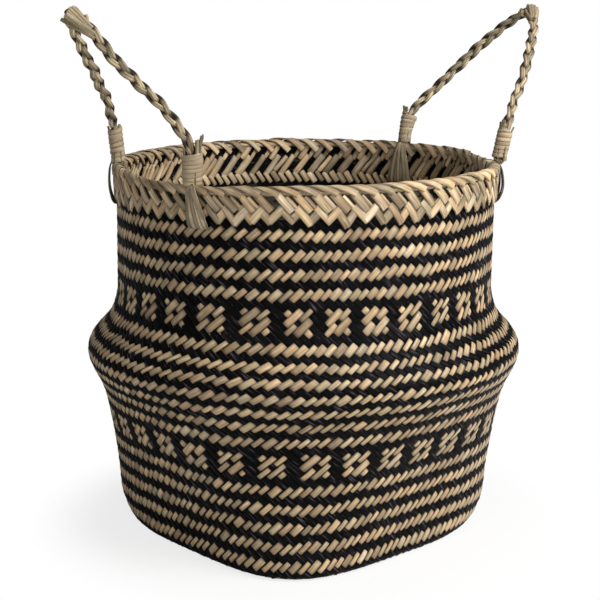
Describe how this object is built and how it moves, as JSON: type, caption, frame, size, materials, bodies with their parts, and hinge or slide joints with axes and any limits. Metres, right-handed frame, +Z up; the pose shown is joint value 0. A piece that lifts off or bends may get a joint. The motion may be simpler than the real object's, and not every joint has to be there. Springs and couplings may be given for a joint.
{
  "type": "rush basket",
  "caption": "Round-necked belly basket plaited from natural and black rush, with two braided handles that swing.",
  "frame": {"origin": "centre of the underside of the base mat", "axes": "+Z up through the centre of the mouth, +X from the left handle to the right handle, -Y towards the front"},
  "size_m": [0.4333, 0.3486, 0.426],
  "materials": {
    "natural_rush": "satin",
    "striped_rush": "satin",
    "handle_rush": "matte"
  },
  "bodies": {
    "lower": {"base_mat": "striped_rush", "lower_wall": "striped_rush", "shoulder_fold": "striped_rush"},
    "upper": {"neck_wall": "striped_rush", "rim_border": "natural_rush", "inner_border": "natural_rush", "rim_lip": "natural_rush", "left_front_loop": "handle_rush", "left_back_loop": "handle_rush", "right_front_loop": "handle_rush", "right_back_loop": "handle_rush", "left_front_tail": "handle_rush", "left_back_tail": "handle_rush", "right_front_tail": "handle_rush", "right_back_tail": "handle_rush"},
    "left_handle": {"left_handle_braid": "handle_rush", "left_front_binding": "handle_rush", "left_back_binding": "handle_rush", "left_front_stub": "handle_rush", "left_back_stub": "handle_rush"},
    "right_handle": {"right_handle_braid": "handle_rush", "right_front_binding": "handle_rush", "right_back_binding": "handle_rush", "right_front_stub": "handle_rush", "right_back_stub": "handle_rush"}
  },
  "joints": [
    {"name": "neck_fold", "type": "slide", "parent": "lower", "child": "upper", "axis": [0, 0, -1], "range_m": [0, 0.045], "deforming": ["shoulder_fold"]},
    {"name": "left_handle_swing", "type": "hinge", "parent": "upper", "child": "left_handle", "pos_m": [-0.13347, 0, 0.30661], "axis": [0, -1, 0], "range_deg": [-100, 82]},
    {"name": "right_handle_swing", "type": "hinge", "parent": "upper", "child": "right_handle", "pos_m": [0.13347, 0, 0.30661], "axis": [0, 1, 0], "range_deg": [-99, 73]}
  ]
}
